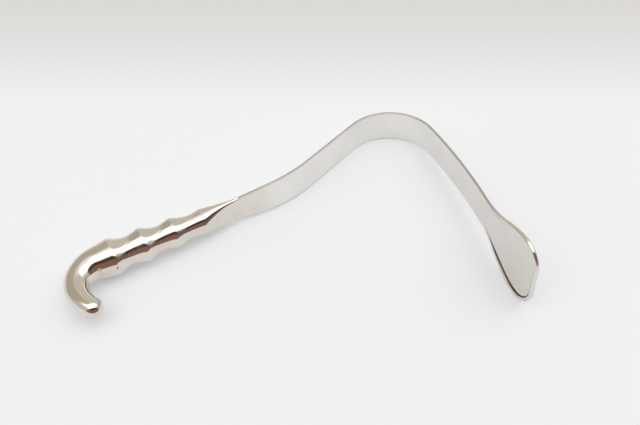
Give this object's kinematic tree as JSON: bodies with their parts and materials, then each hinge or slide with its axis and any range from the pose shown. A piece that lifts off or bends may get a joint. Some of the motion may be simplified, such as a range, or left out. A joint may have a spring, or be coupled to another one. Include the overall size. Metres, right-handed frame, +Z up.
{
  "type": "surgical retractor",
  "caption": "Hand-held surgical retractor: a bent strap blade with a bead round its heart-shaped tip and a hollow ridged finger grip that ends in a hook, lying on its side.",
  "frame": {"origin": "centre of the bounding box, on the surface that the instrument lies on", "axes": "+X along the handle from the hook towards the blade, +Z up; the instrument lies on its side on the first grip ridge, the crown of the bend and one lobe of the tip, and the blade reaches towards -Y"},
  "size_m": [0.3086, 0.2032, 0.0593],
  "materials": {
    "blade_steel": "satin polished stainless steel with fine lengthwise scratches",
    "handle_steel": "bright polished stainless steel with soft handling marks",
    "weld_steel": "weld ground flush and polished, slightly duller than the sheet"
  },
  "bodies": {
    "root": {"blade": "blade_steel", "upper_handle_shell": "handle_steel", "lower_handle_shell": "handle_steel", "seam_weld": "weld_steel", "mouth_weld": "weld_steel", "vent_plug": "weld_steel"}
  },
  "joints": []
}
